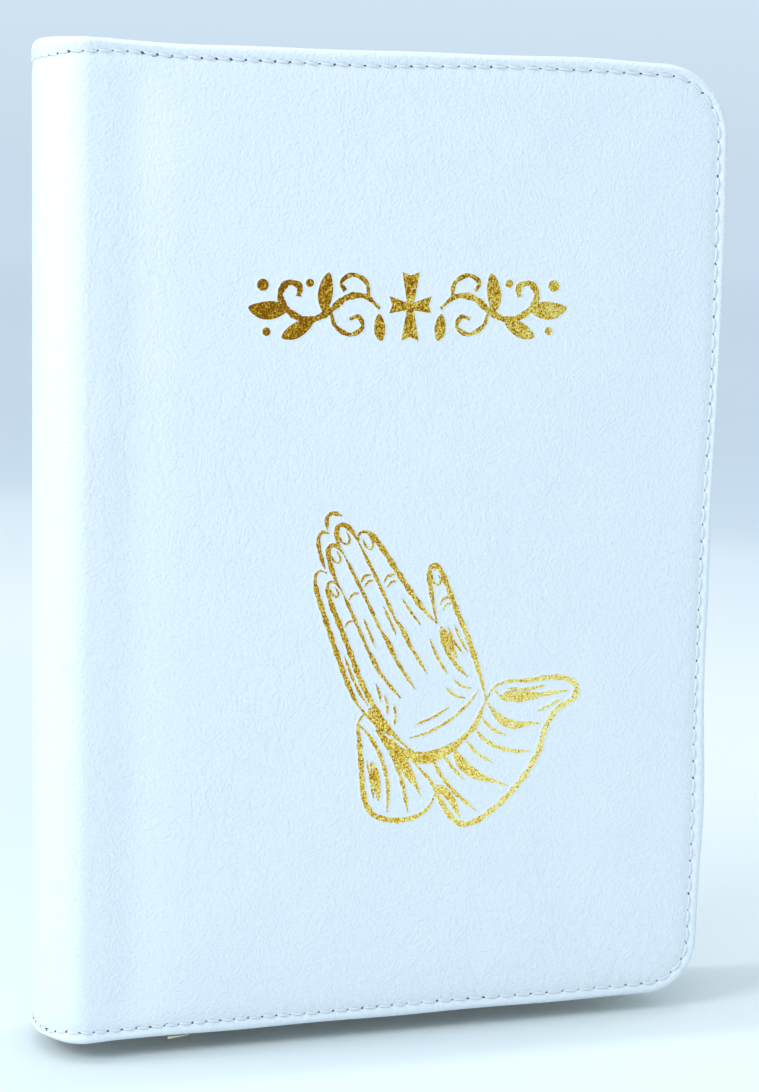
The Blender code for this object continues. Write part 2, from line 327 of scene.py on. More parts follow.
def units(vectors, least=0.0):
    """Vectors with the same directions and a length of 1."""
    return vectors / (np.linalg.norm(vectors, axis=1)[:, None] + least)


def running(steps):
    """Distance so far at each point, from the steps between them."""
    return np.concatenate([[0], np.cumsum(steps)])


def make_piece(name, points, faces, looks, slots, split=None):
    """A mesh object from points in millimetres. The points are kept in the rest attribute too, so
    that a pattern stays on the surface when the piece bends."""
    points = points * MM
    mesh = bpy.data.meshes.new(name)
    mesh.from_pydata(points.tolist(), [], faces)
    mesh.polygons.foreach_set("material_index", np.asarray(slots, np.int32))
    mesh.shade_smooth()
    if split:
        mesh.set_sharp_from_angle(angle=math.radians(split))
    for look in looks:
        mesh.materials.append(look)
    rest = mesh.attributes.new("rest", "FLOAT_VECTOR", "POINT")
    rest.data.foreach_set("vector", points.astype(np.float32).ravel())
    mesh.validate()
    obj = bpy.data.objects.new(name, mesh)
    bpy.context.scene.collection.objects.link(obj)
    return obj


def weld(obj):
    """Joins the points that lie on top of each other."""
    work = bmesh.new()
    work.from_mesh(obj.data)
    bmesh.ops.remove_doubles(work, verts=work.verts, dist=0.02 * MM)
    work.to_mesh(obj.data)
    work.free()
    obj.data.shade_smooth()
    return obj


def grid_faces(rows, columns, flip):
    """Quads over a grid of points stored row by row."""
    i = np.arange(rows - 1)[:, None] * columns + np.arange(columns - 1)[None, :]
    quads = np.stack([i, i + 1, i + columns + 1, i + columns], -1).reshape(-1, 4)
    return quads[:, ::-1] if flip else quads


class Builder:
    """Gathers points and faces for one piece."""

    def __init__(self):
        self.points, self.faces, self.slots, self.count = [], [], [], 0

    def add(self, points, faces, slot=0):
        points = np.asarray(points, float).reshape(-1, 3)
        self.points.append(points)
        for face in faces:
            self.faces.append([int(v) + self.count for v in face])
            self.slots.append(slot)
        self.count += len(points)

    def add_grid(self, rows, slot=0, flip=False):
        """A surface over rows of points."""
        rows = np.asarray(rows, float)
        self.add(rows, grid_faces(*rows.shape[:2], flip), slot)

    def piece(self, name, looks, **options):
        points = np.concatenate(self.points)
        return make_piece(name, points, self.faces, looks, self.slots, **options)


def tube_mesh(path, radii, sides):
    """A closed tube round a path, with a radius for each point."""
    path, radii = np.array(path), np.array(radii)[:, None, None]
    ahead = units(np.gradient(path, axis=0))
    reference = np.array([0.0, 1.0, 0.0])
    if abs(ahead @ reference).max() > 0.9:
        reference = np.array([0.3, 0.2, 0.93])
    side = units(np.cross(ahead, reference))
    up = np.cross(side, ahead)
    angle = circle(sides)[None, :, None]
    across, over = radii * np.cos(angle) * side[:, None], radii * np.sin(angle) * up[:, None]
    faces = []
    last = (len(path) - 1) * sides
    for i in range(0, last, sides):
        for j in range(sides):
            k = (j + 1) % sides
            faces.append((i + j, i + k, i + sides + k, i + sides + j))
    return path[:, None] + across + over, [*faces, range(sides)[::-1], range(last, last + sides)]


def curve_through(points, step, closed):
    """A smooth curve through the points, sampled about every step."""
    p = np.asarray(points, float)
    if closed:
        p = np.concatenate([p[-1:], p, p[:2]])
    else:
        p = np.concatenate([2 * p[:1] - p[1:2], p, 2 * p[-1:] - p[-2:-1]])
    out = []
    for a, b, c, d in zip(p, p[1:], p[2:], p[3:]):
        count = max(2, int(np.linalg.norm(c - b) / step))
        t = np.linspace(0, 1, count, endpoint=False)[:, None]
        square, cube = 2 * a - 5 * b + 4 * c - d, 3 * b - a - 3 * c + d
        out.append(0.5 * (2 * b + (c - a) * t + square * t**2 + cube * t**3))
    if not closed:
        out.append(p[-2:-1])
    return np.concatenate(out)


# -------- the leather's surface


def inset_of(x, z):
    """Distance in from the edge of a cover, over the flat and round both fore-edge corners."""
    x, z = np.asarray(x, float), np.asarray(z, float)
    low = np.minimum(z, HEIGHT - z)
    corner = np.where(z < HEIGHT / 2, LOW_CORNER, HIGH_CORNER)
    straight = np.minimum(low, FORE - x)
    in_corner = (x > FORE - corner) & (low < corner)
    from_centre = np.hypot(np.maximum(x - FORE + corner, 0), np.maximum(corner - low, 0))
    return np.where(in_corner, corner - from_centre, straight)


def head_rise(x, y):
    """The head's edge lifts towards the spine, and sinks behind the middle of the spine."""
    lift = 0.72 * smooth_step(-x, 38.0, 62.0)
    return lift - 1.75 * bell(y, 7.0, 5.5) * bell(max(x - HINGE, 0.0), 0.0, 6.0)


# Waves of the leather: height, length in X and in Z, phase, and how the back cover's differ
WAVES = (
    (0.050, 15.0, 21.0, 0.5, 1.0),
    (0.040, 8.7, -12.1, 1.3, 1.0),
    (0.022, 4.9, 6.3, 0.0, 2.0),
    (0.018, -3.6, 5.1, 0.8, 0.0),
)


def swell(x, z, side):
    """How far the padded leather stands out from the flat of the cover: crowned between the seams,
    slightly hollow along the hinge, and never quite even."""
    turn = 0.0 if side < 0 else 2.1
    d = inset_of(x, z)
    crown = 0.32 * smooth_step(d, 3.0, 24.0) * smooth_step(x, HINGE + 1, HINGE + 26)
    hollow = -0.6 * bell(x - HINGE, 8.5, 5.0) * smooth_step(d, 1.0, 8.0)
    waves = sum(h * np.sin(x / a + z / b + phase + k * turn) for h, a, b, phase, k in WAVES)
    return crown + hollow + waves * smooth_step(d, 2.0, 12.0) * smooth_step(x, HINGE - 2, HINGE + 8)


def roll(away):
    """The fold along the hinge is soft, and pressed in a little."""
    return -0.1 * bell(away, 0.0, 2.4)


# Angles round the spine, from its middle to the hinge, and the distance to each
SPINE_ANGLES = np.linspace(0, math.pi / 2, 400)
SPINE_RUNS = running(
    np.hypot(np.diff(SPINE * np.cos(SPINE_ANGLES)), np.diff(FACE * np.sin(SPINE_ANGLES)))
)


def from_hinge(at):
    """Distance round the spine from the hinge to an angle."""
    return np.interp(at, SPINE_ANGLES, SPINE_RUNS[-1] - SPINE_RUNS)


def fore_shift(x, z):
    """The soft fore edge isn't quite straight."""
    bow = 0.1 + 0.85 * bell(z, 151.0, 32.0) + 0.45 * bell(z, 36.0, 16.0) - 0.1 * bell(z, 70.0, 15.0)
    return bow * smooth_step(x, 20.0, FORE)


def corner_droop(x, z):
    """The head's edge sinks a little towards its fore-edge corner."""
    return 0.6 * smooth_step(x, 36.0, 58.0) * smooth_step(z, 160.0, 182.0)


def seam_wander(x, z):
    """The sewing line drifts a little in and out from the edge."""
    head = (z > HEIGHT / 2) & (x < FORE - HIGH_CORNER)
    tail = (z < HEIGHT / 2) & (x < FORE - LOW_CORNER)
    fore = x > FORE - 1.0
    middle = smooth_step(HINGE - x, 3.5, SPINE)
    drift = 0.08 * np.sin(x / 7.0 + z / 9.0) + middle * np.where(z > HEIGHT / 2, 0.7, -1.1)
    drift += head * (0.5 * bell(x, -12.0, 24.0) - 0.45 * bell(x, -53.0, 8.0))
    drift += tail * 0.12 * bell(x, 5.0, 30.0)
    return drift - fore * 0.42 * bell(z, 118.0, 30.0)


def rim_swell(x, z):
    """Extra width of the rolled edge, by place."""
    low_fore = 0.4 * bell(z, 40.0, 16.0) * smooth_step(x, 50.0, FORE)
    return low_fore + 0.07 * np.sin(x / 5.3 + 1.0) + 0.07 * np.sin(z / 6.1 + 0.4)


# The cut across an edge, as (inset, depth): the face, the sewing groove and half the rolled edge
GROOVE, GROOVE_DEPTH, EDGE_DEPTH = 2.35, 0.46, 1.9
FACE_CUT = (
    (RINGS_TO, 0.0), (8.2, 0.0), (7.3, 0.008), (6.4, 0.02), (5.4, 0.045), (4.6, 0.09),
    (4.0, 0.15), (3.5, 0.23), (3.1, 0.32), (2.8, 0.40), (2.55, 0.45), (GROOVE, GROOVE_DEPTH),
    (2.15, 0.42), (1.9, 0.31), (1.6, 0.17), (1.28, 0.09), (0.95, 0.11), (0.64, 0.24),
    (0.36, 0.48), (0.15, 0.86), (0.03, 1.36), (0.0, EDGE_DEPTH),
)
INSIDE_FROM, INSIDE_LAST = 7.4, 7.0  # how far in the turned-in leather ends, and its last full ring


def edge_cut(thick, end):
    """(inset, depth) of every ring, from the end of the turned-in leather, round the edge and onto
    the face. The thickness changes from thick at the edge to end further in."""
    bend = (thick / 2 - GROOVE_DEPTH) / (EDGE_DEPTH - GROOVE_DEPTH)
    outer = [(d, min(y, GROOVE_DEPTH) + max(y - GROOVE_DEPTH, 0.0) * bend) for d, y in FACE_CUT]
    inner = [(INSIDE_FROM, end - 0.3)]
    for d, y in outer[:-1]:
        if d < INSIDE_LAST:
            full = thick + (end - thick) * smooth_step(d, 1.7, 3.1)
            inner.append((d, full - y * (0.75 if d > 1.5 else 1.0)))
    return inner + outer[::-1]


CUTS = edge_cut(CAP, HEM), edge_cut(STACK, STACK)  # at the spine, and at the covers
RINGS = len(CUTS[0])
N_SPINE, N_LONG, N_ARC, N_FORE = 36, 140, 28, 196  # steps along each stretch of the edge


def outline_stations():
    """Places along one cover's edge, from the middle of the spine at the tail, round the fore edge
    and back to the middle of the spine at the head."""
    # 0 at the middle of the spine, a quarter turn at the hinge
    even = np.interp(np.linspace(0, SPINE_RUNS[-1], N_SPINE + 1), SPINE_RUNS, SPINE_ANGLES)
    low, high = FORE - LOW_CORNER, FORE - HIGH_CORNER
    degrees = np.linspace(0, 90, N_ARC + 1)
    stretches = (
        ("tail", np.linspace(HINGE, low, N_LONG + 1)),
        ("low_corner", [math.radians(a - 90) for a in degrees]),
        ("fore", np.linspace(LOW_CORNER, HEIGHT - HIGH_CORNER, N_FORE + 1)),
        ("high_corner", [math.radians(a) for a in degrees]),
        ("head", np.linspace(high, HINGE, N_LONG + 1)),
        ("spine_head", even[::-1]),
    )
    first = [("spine_tail", a) for a in even]
    return first + [(kind, at) for kind, places in stretches for at in places[1:]]


STATIONS = outline_stations()


def flare(z):
    """The ends of the spine stand out a little."""
    return 0.42 * np.exp(-(HEIGHT - z) / 3.5) + 0.5 * np.exp(-z / 5.0)


def on_edge(kind, at, inset, side):
    """(surface point x, y, z, outward x, y) at this inset from the edge, before any swelling."""
    if kind.startswith("spine"):
        x, y = HINGE - SPINE * math.cos(at), FACE * math.sin(at)
        nx, ny = -math.cos(at) / SPINE, math.sin(at) / FACE
        size = math.hypot(nx, ny)
        z = inset if kind == "spine_tail" else HEIGHT - inset
        return x, side * y, z, nx / size, side * ny / size
    if kind == "tail":
        x, z = at, inset
    elif kind == "head":
        x, z = at, HEIGHT - inset
    elif kind == "fore":
        x, z = FORE - inset, at
    else:
        low = kind == "low_corner"
        corner, cz = (LOW_CORNER,) * 2 if low else (HIGH_CORNER, HEIGHT - HIGH_CORNER)
        r = corner - inset
        x, z = FORE - corner + r * math.cos(at), cz + r * math.sin(at)
    return x, side * FACE, z, 0.0, float(side)


# How many stitches lie before each station, along the sewing line. They are shorter by the spine.
SEWN = np.array([on_edge(kind, at, SEAM, -1)[:3] for kind, at in STATIONS])
STITCHES = running(steps_of(SEWN) / (2.8 + 0.7 * smooth_step(SEWN[1:, 0], -40.0, 45.0)))


def ring_point(i, k, side):
    """The leather's surface at one station and one ring of its cut."""
    kind, at = STATIONS[i]
    x0, _, z0, _, _ = on_edge(kind, at, 0.0, side)
    spine = kind.startswith("spine")
    share = 0.0 if spine else smooth_step(x0, HINGE, HINGE + 1.3)
    inset, depth = CUTS[0][k]
    depth += (CUTS[1][k][1] - depth) * share
    loosen = smooth_step(inset, 0.4, 1.6) * (1 - smooth_step(inset, 5.5, 9.0))
    inset += seam_wander(x0, z0) * loosen
    inset -= rim_swell(x0, z0) * (1 - smooth_step(inset, 0.2, 2.0))
    x, y, z, nx, ny = on_edge(kind, at, inset, side)
    if kind in ("spine_head", "head"):
        near = 1 - 0.62 * smooth_step(inset, 1.2, 2.6)
        z += head_rise(x, y) * near * (1 - smooth_step(inset, 2.6, 9.0))
    out = -depth
    phase = 2 * math.pi * STITCHES[i]
    if k >= RINGS // 2:
        pull = bell(inset, 3.4, 1.1) - 0.6 * bell(inset, 1.5, 0.6)
        out += 0.035 * math.cos(phase) * pull
        out += swell(x, z, side)
    out += roll(from_hinge(at) if spine else x - HINGE)
    if spine:
        out += flare(z)
    else:
        out += flare(z) * (1 - smooth_step(x, HINGE, HINGE + 6))
        x += fore_shift(x, z)
        z -= corner_droop(x, z)
    return x + nx * out, y + ny * out, z


def make_skin(word, side):
    """The leather over one cover and its half of the spine, turned in round all its edges."""
    count = len(STATIONS)
    rings = np.array([[ring_point(i, k, side) for k in range(RINGS)] for i in range(count)])
    work = Builder()
    flip = side < 0
    work.add_grid(rings, flip=flip)

    inner = rings[:, -1]
    # The spine between its two ends
    rows = N_FORE + N_ARC  # rows from tail to head, the same as on the cover's fore side
    t = np.linspace(0, 1, rows + 1)
    block = np.zeros((N_SPINE + 1, rows + 1, 3))
    for j in range(N_SPINE + 1):
        kind, at = STATIONS[j]
        low, high = inner[j], inner[count - 1 - j]
        z = low[2] + (high[2] - low[2]) * t
        x, y, _, nx, ny = on_edge(kind, at, RINGS_TO, side)
        out = flare(z) + swell(np.full_like(z, x), z, side) + roll(from_hinge(at))
        block[j] = np.stack([x + nx * out, y + ny * out, z], -1)
        block[j, 0], block[j, -1] = low, high
    work.add_grid(block, flip=flip)

    # The face of the cover, between the rings
    edge = inner[N_SPINE : count - N_SPINE]
    half = N_LONG + N_ARC // 2
    tail, fore, head = edge[: half + 1], edge[half : half + rows + 1], edge[half + rows :][::-1]
    hinge = block[-1]
    u = np.linspace(0, 1, half + 1)[:, None, None]
    v = t[None, :, None]
    p, q = 1 - u, 1 - v
    face = q * tail[:, None] + v * head[:, None] + p * hinge[None] + u * fore[None]
    face = face - p * q * tail[0] - u * q * tail[-1] - p * v * head[0] - u * v * head[-1]
    x, z = face[..., 0], face[..., 2]
    near = smooth_step(x, HINGE, HINGE + 6)
    out = swell(x, z, side) + flare(z) * (1 - near) + roll(x - HINGE)
    flat = side * (FACE + out)
    face[1:-1, 1:-1, 1] = flat[1:-1, 1:-1]
    work.add_grid(face, flip=flip)
    obj = weld(work.piece(word + "_leather_skin", [SKIN]))
    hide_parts(word + "_leather", *(["spine_leather"] if side < 0 else []))
    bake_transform(obj)


# -------- sewing


HOLE_GAP = 0.16  # from a needle hole's middle to the thread
STITCH_SHARES = (0.0, 0.06, 0.16, 0.32, 0.5, 0.68, 0.84, 0.94, 1.0)  # points along a stitch
STITCH_ENDS, STITCH_ARCH = -0.30, 0.52  # how deep a stitch's ends go in, and its rise from there
THREAD_RADIUS, THREAD_SIDES = 0.20, 7
MARK_POINTS = 10  # points round a needle hole's disc of painted shade


def sew(word, side):
    """Separate stitches between needle holes marked with painted shade. The spine's stitches ride
    with the spine.
    """
    # The sewing line on the groove's floor, from the spine's middle at the tail round to its middle
    # at the head, with the outward direction at each point
    groove = RINGS - 1 - [inset for inset, _ in FACE_CUT].index(GROOVE)
    points = np.array([ring_point(i, groove, side) for i in range(len(STATIONS))])
    outs = np.array([(*on_edge(kind, at, SEAM, side)[3:], 0.0) for kind, at in STATIONS])
    along = running(steps_of(points))
    rng = random.Random(11 + side)
    cover, spine = (Builder(), Builder()), (Builder(), Builder())
    holes = np.interp(np.arange(0.5, STITCHES[-1]), STITCHES, along)
    fan = [(0, 1 + j, 1 + (j + 1) % MARK_POINTS) for j in range(MARK_POINTS)]

    def at(s):
        p, n = (np.array([np.interp(s, along, c) for c in v.T]) for v in (points, outs))
        return p, n / np.linalg.norm(n)

    for hole, after in zip(holes, [*holes[1:], along[-1] + 1]):
        p, n = at(hole)
        q, _ = at(min(hole + 0.2, along[-1] - 0.01))
        ahead = (q - p) / np.linalg.norm(q - p)
        across = np.cross(n, ahead)
        threads, marks = cover if p[0] > HINGE else spine
        start, end = hole + HOLE_GAP, after - HOLE_GAP
        path, radii = [], []
        lean = 0.12 + rng.uniform(-0.05, 0.05)
        for share in STITCH_SHARES:
            s = start + (end - start) * share
            if s >= along[-1]:
                break
            c, m = at(s)
            rise = STITCH_ENDS + STITCH_ARCH * math.sin(math.pi * share) ** 0.5
            path.append(c + m * rise + across * lean * (1 - 2 * share))
            radii.append(THREAD_RADIUS + 0.05 * math.sin(math.pi * share))
        if len(path) > 3:
            threads.add(*tube_mesh(path, radii, THREAD_SIDES))
        # Painted shade: a flat dark disc just over the leather at each needle hole, larger towards
        # the spine and more often faint towards the fore edge.
        wider_near_spine = 1 + 0.5 * smooth_step(-p[0], 15.0, 55.0)
        size = rng.uniform(0.08, 0.24) * wider_near_spine
        long = rng.uniform(0.3, 0.9) * wider_near_spine**0.5
        twist = rng.uniform(-0.5, 0.5)
        rim = [
            p
            + n * 0.045
            + ahead * long * math.cos(t) * (1 + 0.2 * math.sin(3 * t + twist))
            + across * (size * math.sin(t) + (0.3 + 0.5 * twist) * long * math.cos(t))
            for t in circle(MARK_POINTS)
        ]
        middle = p + n * 0.075
        faint = rng.random() < (0.4 if p[0] < FORE - 20 else 0.8)
        marks.add([middle, *rim], fan, int(faint))
    for builders, body, label in ((cover, word + "_cover", "cover"), (spine, ROOT, "spine")):
        stitches = builders[0].piece(f"{word}_{label}_stitches", [THREAD])
        marks = builders[1].piece(f"{word}_{label}_needle_holes", [PAINTED_HOLE_SHADE, FAINT_PAINTED_HOLE_SHADE])
        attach(stitches, body)
        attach(marks, body)
        if label == "cover":
            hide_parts(word + "_seam_thread")
        elif side < 0:
            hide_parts("spine_thread_head", "spine_thread_tail")


# -------- foil


# The leather's raised lip round the foil: width, how far its top reaches, height, and how deep its
# outer side goes. Then the foil's height over the lip.
LIP, LIP_TOP, LIP_HIGH, LIP_FOOT = 0.46, 0.15, 0.08, -0.03
FOIL_HIGH = LIP_HIGH + 0.01


def pairs(numbers):
    """Points from numbers that alternate."""
    return list(zip(numbers[::2], numbers[1::2]))


def foil_point(u, z, height):
    """A point this far off the front cover's leather."""
    return u + fore_shift(u, z), -(FACE + swell(u, z, -1) + roll(u - HINGE) + height), z


def foil_stroke(work, points, width, taper=(0.35, 0.35), level=0.0):
    """A pressed line: foil in the middle, with the leather's lip on both sides."""
    line = curve_through(points, 0.45, False)
    ahead = units(np.gradient(line, axis=0), 1e-9)
    normal = np.stack([-ahead[:, 1], ahead[:, 0]], -1)
    s = running(steps_of(line))
    ease = 0.22 * s[-1]
    widths = np.full(len(line), width, float)
    widths *= taper[0] + (1 - taper[0]) * smooth_step(s, 0, ease)
    widths *= taper[1] + (1 - taper[1]) * smooth_step(s[-1] - s, 0, ease)
    widths *= 1 + 0.16 * np.sin(s * 1.9 + points[0][0]) + 0.12 * np.sin(s * 4.7 + points[0][1])
    rows = []
    for p, n, a in zip(line, normal, widths / 2):
        half = [(a + LIP, LIP_FOOT), (a + LIP_TOP, LIP_HIGH), (a, LIP_HIGH), (a, FOIL_HIGH + level)]
        cut = [(-o, h) for o, h in half] + [(0.0, LIP_HIGH + 0.004 + level)] + half[::-1]
        rows.append([foil_point(p[0] + n[0] * o, p[1] + n[1] * o, h) for o, h in cut])
    rows = np.array(rows)
    for j in range(rows.shape[1] - 1):  # separate strips keep the lip's corners sharp
        work.add_grid(rows[:, j : j + 2], int(2 <= j <= 5), flip=True)


def foil_shape(work, outline, level, sharp=False):
    """A pressed solid shape with a lip round it. A sharp one has straight sides."""
    if sharp:
        corners, line = np.asarray(outline, float), []
        for a, b in zip(corners, np.roll(corners, -1, axis=0)):
            parts = max(2, int(np.hypot(*(b - a)) / 0.5))
            line.append(a + (b - a) * np.linspace(0, 1, parts, False)[:, None])
        line = np.concatenate(line)
    else:
        line = curve_through(outline, 0.4, True)
    area = 0.5 * np.sum(line[:, 0] * np.roll(line[:, 1], -1) - np.roll(line[:, 0], -1) * line[:, 1])
    if area < 0:
        line = line[::-1]
    ahead = units(np.roll(line, -1, axis=0) - np.roll(line, 1, axis=0), 1e-9)
    out = np.stack([ahead[:, 1], -ahead[:, 0]], -1)
    top = FOIL_HIGH + level
    work.add([foil_point(*p, top) for p in line], [range(len(line))], 1)
    cut = ((0.0, top), (0.0, LIP_HIGH), (LIP_TOP, LIP_HIGH), (LIP, LIP_FOOT))
    for number, edges in enumerate(zip(cut, cut[1:])):
        ring = [[foil_point(*(p + o * a), h) for a, h in edges] for p, o in zip(line, out)]
        work.add_grid([*ring, ring[0]], int(number == 0), flip=True)


HAND_AT, HAND_LEAN = (12.5, 58.0), math.radians(30)


def hand_space(numbers):
    """From the hands' own upright drawing to the cover, leaning towards the spine."""
    c, s = math.cos(HAND_LEAN), math.sin(HAND_LEAN)
    placed = []
    for u, v in pairs(numbers):
        v *= 0.93 if v > 0 else 1.0
        placed.append((HAND_AT[0] + u * c - v * s, HAND_AT[1] + u * s + v * c))
    return placed


# Two hands held together, seen from the back of the nearer one, drawn upright. Each line is its
# width and then x, y, x, y and so on.
HAND_LINES = (
    # the nearer hand: little finger side, then each finger's tip and the line beside it
    (0.95, -8.6, 0.6, -10.2, 6, -11, 13, -10.9, 20, -10.1, 26, -9.3, 32, -8.6, 38, -7.9, 41.2,
     -6.9, 42.4, -5.8, 41.6, -5.5, 39.5),
    (0.6, -5.5, 39.5, -5.9, 34, -6.4, 28, -6.9, 23.5),
    (0.85, -5.6, 41, -5.2, 44.5, -4.4, 47.6, -3.3, 48.9, -2.1, 48.2, -1.7, 46.2),
    (0.6, -1.7, 46.2, -1.9, 40, -2.2, 33, -2.7, 25.5),
    (0.85, -1.8, 47.4, -1.2, 50, -0.1, 51.6, 1.2, 51.2, 1.9, 49.2, 2, 46.9),
    (0.6, 2, 46.9, 1.8, 40, 1.4, 33, 0.9, 26),
    (0.95, 2.1, 46.6, 2.9, 47.9, 4.2, 47.6, 5.1, 45.8, 5.6, 42, 6, 36, 6.5, 30, 7.1, 25.5,
     8, 22.2),
    # the thumb and the edge of the palm down to the wrist
    (0.95, 8, 22.2, 8.8, 25, 9.9, 28.5, 11, 31.6, 12.2, 33.4, 13.4, 33, 13.7, 31, 13.3, 27,
     12.7, 22, 12.2, 16.5, 11.4, 11, 10.3, 5.5, 9.4, 1.6),
    # nails
    (0.4, 3, 46.4, 2.9, 44.7, 3.6, 43.7, 4.4, 44.5, 4.5, 46.2),
    (0.4, -0.8, 50, -0.8, 48.2, 0, 47.3, 0.8, 48.1, 0.9, 49.8),
    (0.4, -4, 47.4, -4, 45.7, -3.3, 44.9, -2.6, 45.6, -2.6, 47.2),
    (0.4, -7.4, 41, -7.4, 39.5, -6.8, 38.8, -6.3, 39.4, -6.3, 40.8),
    (0.4, 11.7, 32, 11.3, 30.4, 11.8, 29.3, 12.6, 29.6, 12.9, 31),
    # creases over the joints
    (0.45, 2.6, 36.1, 3.9, 36.8, 5.2, 36.3),
    (0.4, 2.7, 34.8, 3.9, 35.3, 5, 34.9),
    (0.45, -1.3, 38.8, -0.1, 39.5, 1.1, 39),
    (0.4, -1.2, 37.5, -0.1, 38.1, 1, 37.7),
    (0.45, -5.1, 36.9, -3.9, 37.5, -2.8, 37),
    (0.45, -8.4, 32.3, -7.4, 32.9, -6.5, 32.5),
    (0.5, 10.4, 25.3, 11.5, 26.1, 12.7, 25.6),
    (0.4, 10.3, 24, 11.4, 24.7, 12.5, 24.3),
    # the back of the hand
    (0.6, -7, 22.4, -6.4, 17, -5.6, 12.5),
    (0.6, -2.8, 24, -2.6, 18, -2.2, 12.5),
    (0.6, 0.9, 24.6, 1.2, 19, 1.4, 14),
    (0.75, 7.8, 20.6, 7.1, 16.5, 7.4, 12, 8.3, 8.4),
    (0.5, 5.2, 20, 4.8, 15.5, 5, 11.5),
    (0.5, -7.9, 3.8, -4, 2.6, 1, 2.3, 6, 3.2, 9, 4.6),
    (0.45, -5.6, 5.6, -2, 4.9, 2, 4.8),
    # the further hand, behind
    (0.9, -13.3, 14, -13.7, 17, -13.4, 21, -12.6, 27, -11.4, 34, -10.3, 40, -9.5, 43.4,
     -8.4, 45.3, -7.2, 45.5, -6.4, 44.4),
    (0.7, -6.3, 45.4, -5.6, 49, -4.6, 51.6, -3.3, 52.4, -2.3, 51.4),
    (0.7, -2.2, 52.2, -1.2, 54.4, 0.3, 54.7, 1.6, 53.2),
    (0.5, -12, 15, -12.2, 18, -12, 22, -11.3, 27),
    # the near sleeve: its opening round the wrist, its outline and its folds
    (0.95, -9.6, 1.2, -6.4, -1.3, -1.2, -2.7, 4.4, -1.9, 9.2, 1.6),
    (1.0, 9.2, 1.6, 12, 3.1, 15.2, 2.5, 18.6, 0.4, 22.2, -1.3, 25.6, -3.5, 27, -6.2, 25.3, -8.2,
     21.2, -8.3, 17.4, -10.2, 13.6, -13.8, 8.2, -16.7, 2, -18.5, -4.2, -18.9, -7.6, -17.1,
     -8.5, -12.6, -8.3, -7, -9.3, -2, -9.6, 1.2),
    (0.8, 11.8, 2.6, 12.7, -0.2, 16.2, -2.7, 21, -4.3, 25, -6.2),
    (0.55, 14.2, 1.4, 17.6, -1.1, 21.6, -2.7),
    (0.8, 9.2, 1.2, 10, -2.6, 12.6, -6.1, 16.8, -8.8),
    (0.7, 4.5, -2.2, 5.6, -6.2, 8.6, -10.1, 12.2, -12.6),
    (0.55, 6.9, -1.2, 7.6, -4.2, 9.4, -6.9),
    (0.7, -1, -3, -0.4, -7.2, 1.6, -12.1, 4.8, -16.2),
    (0.55, 1.8, -3.2, 2.6, -7, 4.4, -10.4),
    (0.7, -6, -1.8, -5.9, -7, -5, -12, -3.2, -17),
    (0.55, -3.6, -2.8, -3.2, -6.6, -2.4, -10),
    (0.5, 17.8, -6.4, 20.4, -6.8, 23, -7),
    # the far sleeve
    (0.95, -13.3, 14, -15.4, 12.8, -17.1, 9, -19, 4.4, -21.2, -0.6, -21.9, -5, -19.7, -8.4,
     -15.8, -10.7, -11.8, -11.1, -8.8, -9.4),
    (0.8, -13.3, 14, -12.3, 10.4, -10.9, 6.6),
    (0.7, -15.3, 12.2, -14.6, 8, -14.9, 2.6, -16.5, -2.8, -19, -7),
    (0.7, -13, 9.4, -12.6, 3, -13.4, -3, -15.4, -9.4),
    (0.6, -11.2, 3.6, -10.8, -1.8, -11.6, -8),
    (0.5, -17.6, 4.6, -18.6, 1, -20, -3),
    # hatching
    (0.45, -9.4, 8, -8.2, 9.6, -7.4, 12),
    (0.45, -9.5, 11, -8.6, 12.8, -8.1, 15),
    (0.45, -9.4, 14.2, -8.8, 16, -8.5, 18),
    (0.45, 3.4, 9, 4.2, 6.4, 5.8, 4.6),
    (0.45, 5.6, 9.4, 6.4, 7.2, 7.8, 5.8),
    (0.45, 9.6, 20, 9.3, 16.6, 9.7, 13.4),
    (0.45, 10.9, 19.6, 10.6, 16.2, 10.7, 13),
    (0.45, 4.2, 31, 4.5, 27.4, 4.9, 24),
    (0.45, 0.2, 31.6, 0, 28, -0.3, 25),
    (0.45, -4.4, 31.6, -4.8, 28, -5.1, 25),
)
# Solid touches of shade: x, y, x, y and so on
HAND_SHADES = (
    (9.5, -0.4, 11.2, -4.4, 14.8, -7.6, 11.3, -6.7, 9.3, -3.6),
    (-12.6, 10, -10.6, 3.6, -6.5, -0.7, -1, -2.2, 3.2, -2.2, -1.2, -3.8, -6.9, -3.2, -10.6, 0.4,
     -12.7, 6),
    (-1.3, -4, -0.1, -9.2, 2.6, -13.8, -0.6, -11, -2.2, -7),
    (-11.2, 6.2, -12.2, 2.4, -12.4, -2.8, -11.3, -5.8, -10.5, -1, -10.4, 3),
    (-16.9, 4.2, -18.6, 0, -19.5, -4, -17.7, -1.8, -16.5, 1.6),
    (-8.1, -8, -7.3, -12, -6.9, -16.4, -5.8, -13, -6.4, -9),
    (13, -0.2, 16.2, -2.3, 20.4, -3.9, 16.4, -0.9, 13.6, 0.9),
    (8.2, 21.2, 7.6, 17.4, 8.1, 13, 9, 16.6, 8.9, 20),
    (-12.8, 13, -12.2, 9.4, -11, 7.4, -11.2, 11, -11.9, 14.4),
    (-2.4, 27.4, -2.9, 23.6, -2.4, 20.6, -1.9, 24),
    (1.3, 27.6, 0.9, 24, 1.3, 21, 1.8, 24.2),
    (-6.6, 25.6, -7.2, 22.4, -6.8, 19.4, -6.2, 22.6),
)


